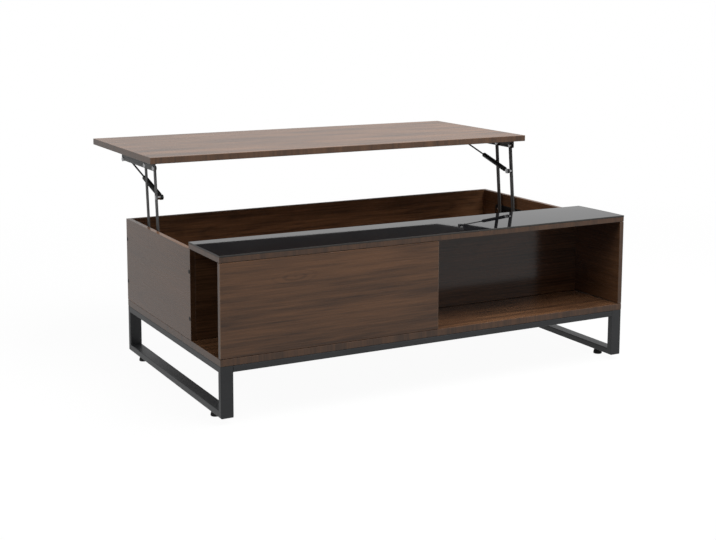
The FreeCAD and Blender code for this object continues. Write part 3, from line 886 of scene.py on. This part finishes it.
# %% Arms, plates, rails and struts
STAMPED_EDGE = 0.0005
FOLDED_EDGE = 0.0006
TURNED_EDGE = 0.0004
MECHANISM = (
    ("front_arm", STAMPED_EDGE, steel, "mechanism_steel"),
    ("rear_arm", STAMPED_EDGE, steel, "mechanism_steel"),
    ("base_plate", STAMPED_EDGE, lacquer, "mechanism_steel"),
    ("top_rail", FOLDED_EDGE, rail_steel, "mechanism_steel"),
    ("gas_cylinder", TURNED_EDGE, lacquer, "strut_black"),
    ("gas_rod", TURNED_EDGE, lacquer, "strut_black"),
)

eased_pieces = [make_eased(side + part, *how) for side in ("left_", "right_") for part, *how in MECHANISM]
print(len(eased_pieces), "eased pieces")

# %% [markdown]
# ## Feet
#
# Each foot is a moulded pad on a threaded stud. Its rim is rounded so that it slides on a carpet. A pad
# turned from a profile would do as well, but the solid is already round and needs only its rim eased.

# %% Moulded foot pads
FOOT_EDGE = 0.0012
feet = [
    make_eased(end + side + "_foot_pad", FOOT_EDGE, plastic, "black_plastic")
    for end in ("front_", "rear_") for side in ("left", "right")
]
print(len(feet), "feet")

# %% [markdown]
# ## Rivets, screws and caps
#
# All the fasteners are turned or pressed to one kind of shape: a shank with a rounded head. One Geometry
# Nodes tree makes it by rolling a flat grid up: one side of the grid runs round the axis, the other runs
# up the profile. The first three rows are the end of the shank, its side and the underside of the head,
# and the rest is the crown. The tree puts one fastener at each point of a mesh, turned to the way that its
# head faces, so a whole set is one piece.

# %% One tree for every fastener
SIDES_ROUND = 40
PROFILE_STEPS = 12
SHANK_STEPS = 3
FASTENER_SIZES = ("Head Radius", "Head Height", "Fullness", "Shank Radius", "Shank Length")


def fastener_tree():
    """Points in, turned fasteners out."""
    tree = bpy.data.node_groups.new("turned_fasteners", "GeometryNodeTree")
    tree.interface.new_socket("Places", in_out="INPUT", socket_type="NodeSocketGeometry")
    for name in FASTENER_SIZES:
        tree.interface.new_socket(name, in_out="INPUT", socket_type="NodeSocketFloat")
    tree.interface.new_socket("Finish", in_out="INPUT", socket_type="NodeSocketMaterial")
    tree.interface.new_socket("Fasteners", in_out="OUTPUT", socket_type="NodeSocketGeometry")
    bench = Bench(tree)

    def given(name):
        return bench.add("NodeGroupInput", None, None, name)

    def held(value):
        return bench.add("ShaderNodeClamp", None, {"Value": value, "Min": 0.0, "Max": 1.0})

    counts = {"Size X": 1.0, "Size Y": 1.0, "Vertices X": SIDES_ROUND + 1, "Vertices Y": PROFILE_STEPS + 1}
    grid = bench.add("GeometryNodeMeshGrid", None, counts, "Mesh")
    place = bench.add("GeometryNodeInputPosition")
    turn = (bench.axis(place, "X") + 0.5) * math.tau
    row = (bench.axis(place, "Y") + 0.5) * PROFILE_STEPS
    rise = held((row - SHANK_STEPS) * (1 / (PROFILE_STEPS - SHANK_STEPS))) * (math.pi / 2)
    shank = given("Shank Radius")
    out = shank * held(row) + (given("Head Radius") - shank) * held(row - 2.0)
    out = out * rise.cosine()
    crown = rise.sine() ** given("Fullness")
    up = given("Head Height") * crown - given("Shank Length") * (1.0 - held(row - 1.0))
    axes = {"X": out * turn.cosine(), "Y": out * turn.sine(), "Z": up}
    spot = bench.add("ShaderNodeCombineXYZ", None, axes)
    rolled = bench.add("GeometryNodeSetPosition", None, {"Geometry": grid, "Position": spot})
    closed = bench.add("GeometryNodeMergeByDistance", None, {"Geometry": rolled, "Distance": JOIN})
    way = bench.add("GeometryNodeInputNamedAttribute", {"data_type": "FLOAT_VECTOR"}, {"Name": "way"})
    facing = bench.add("FunctionNodeAlignRotationToVector", {"axis": "Z"}, {"Vector": way})
    sown = {"Points": given("Places"), "Instance": closed, "Rotation": facing}
    placed = bench.add("GeometryNodeInstanceOnPoints", None, sown)
    real = bench.add("GeometryNodeRealizeInstances", None, {"Geometry": placed})
    coated = bench.add("GeometryNodeSetMaterial", None, {"Geometry": real, "Material": given("Finish")})
    bench.add("NodeGroupOutput", None, {"Fasteners": coated})
    return tree


fasteners = fastener_tree()
print("tree", fasteners.name, len(fasteners.nodes), "nodes")

# %% [markdown]
# Where the fasteners sit could be typed in, but the frame knows it already. Each set of fasteners is one CAD
# node with several separate solids. Walking along the edges of its merged copy finds the solids one by one,
# and the box of a solid gives the middle of a fastener and the plane on which its head starts.

# %% Places of the fasteners
def loose_parts(node):
    """The boxes of the separate solids of a CAD node."""
    shell = merged_copy(node)
    waiting = set(shell.verts)
    boxes = []
    while waiting:
        reached = [waiting.pop()]
        for vertex in reached:
            near = {edge.other_vert(vertex) for edge in vertex.link_edges} & waiting
            waiting -= near
            reached.extend(near)
        axes = list(zip(*(vertex.co for vertex in reached)))
        boxes.append([Vector([pick(axis) for axis in axes]) for pick in (min, max)])
    shell.free()
    return sorted(boxes, key=lambda pair: tuple(pair[0]))


def head_places(node, sizes, ways):
    """Where the heads of a node's fasteners start, and the ways that they face."""
    back = sizes["Head Height"] - sizes["Proud"]
    places = []
    for low, high in loose_parts(node):
        middle = (low + high) / 2
        outwards = Vector((math.copysign(1, middle.x), 0, 0))
        for name in ways:
            way = {"out": outwards, "in": -outwards, "down": Vector((0, 0, -1))}[name]
            reach = [abs(share) for share in way]
            half = sum(share * size for share, size in zip(reach, (high - low) / 2))
            places.append((middle + way * (half - back), way))
    return places


print("caps at", [[round(value, 3) for value in low] for low, high in loose_parts("screw_caps")[:2]])

# %% [markdown]
# To grow a set, its places become a mesh of bare points, and the tree is put on that mesh as a modifier.
# The modifier's inputs are set by their identifiers before anything is evaluated. The grown result is then
# copied to a plain mesh and the points are thrown away, so the piece carries no live modifier.

# %% Grow a set of fasteners
def make_fasteners(node, sizes, ways, material, slot):
    """All the fasteners of a node as one piece. Returns how many heads it has."""
    places = head_places(node, sizes, ways)
    dots = bpy.data.meshes.new("places_of_" + node)
    dots.from_pydata([spot for spot, way in places], [], [])
    facing = dots.attributes.new("way", "FLOAT_VECTOR", "POINT")
    for dot, (spot, way) in zip(facing.data, places):
        dot.vector = way
    holder = bpy.data.objects.new("places_of_" + node, dots)
    scene.collection.objects.link(holder)
    modifier = holder.modifiers.new("fasteners", "NODES")
    modifier.node_group = fasteners
    for socket in fasteners.interface.items_tree:
        if socket.name in sizes:
            modifier[socket.identifier] = sizes[socket.name]
        elif socket.name == "Finish":
            modifier[socket.identifier] = material
    grown = bpy.data.meshes.new_from_object(holder.evaluated_get(bpy.context.evaluated_depsgraph_get()))
    bpy.data.objects.remove(holder)
    shell = bmesh.new()
    shell.from_mesh(grown)
    bpy.data.meshes.remove(grown)
    name = "turned_" + node
    make_piece(name, close_mesh(name, shell, True), material, slot, node)
    return len(places)


print("sizes of a fastener:", ", ".join(FASTENER_SIZES))

# %% [markdown]
# Rivets have full round heads, and those on the pivots show one on each side of the arm. Pan screws and
# frame bolts have flatter heads. The dark caps over the panel screws stand 0.7 mm proud of the end panels,
# which is the only place where the dressed table goes past its CAD box.

# %% Rivets, screws, bolts and caps
def sizes_of(radius, height, fullness, shank, length, proud=0.0):
    """Sizes in metres by name, and how far the head stands past its solid."""
    return dict(zip(FASTENER_SIZES + ("Proud",), (radius, height, fullness, shank, length, proud)))


RIVET = sizes_of(0.0065, 0.0028, 0.8, 0.003, 0.0027)
END_RIVET = sizes_of(0.0065, 0.0028, 0.8, 0.003, 0.002)
PAN_SCREW = sizes_of(0.004, 0.0024, 0.6, 0.0017, 0.0105)
FRAME_BOLT = sizes_of(0.0055, 0.0035, 0.5, 0.003, 0.026)
CAP = sizes_of(0.005, 0.001, 0.5, 0.004, 0.0005, proud=0.0007)
FASTENER_SETS = (
    ("upper_pivot_rivets", RIVET, ("out", "in"), zinc, "bright_zinc"),
    ("rail_end_rivets", END_RIVET, ("out",), zinc, "bright_zinc"),
    ("rail_screws", PAN_SCREW, ("down",), zinc, "bright_zinc"),
    ("base_screws", PAN_SCREW, ("in",), zinc, "bright_zinc"),
    ("frame_bolts", FRAME_BOLT, ("down",), zinc, "bright_zinc"),
    ("screw_caps", CAP, ("out",), plastic, "black_plastic"),
)
heads = sum(make_fasteners(*fastener_set) for fastener_set in FASTENER_SETS)
print(heads, "heads")

# %% [markdown]
# ## CAD nodes that keep their own solid
#
# The rest of the mechanism is right as the frame has it and only needs its finish. The record names a slot
# for each node, so the finish is found by slot. The nodes that pieces stand for get theirs too.

# %% Finishes on the frame's own nodes
SLOT_FINISH = {
    "walnut_board": walnut, "black_glass": glass, "charcoal_tube": charcoal, "mechanism_steel": steel,
    "bright_zinc": zinc, "strut_black": lacquer, "black_plastic": plastic, "dowel_wood": beech,
}
subparts = frame["record"]["subparts"]
for subpart in subparts:
    finishes = frame["nodes"][subpart["node"]].data.materials
    finishes.clear()
    finishes.append(SLOT_FINISH[subpart["material_slot"]])
print(len(subparts), "nodes finished")

# %% [markdown]
# ## Inside the frame's box
#
# The dressed table has to stay inside the box of its CAD frame, apart from the caps.
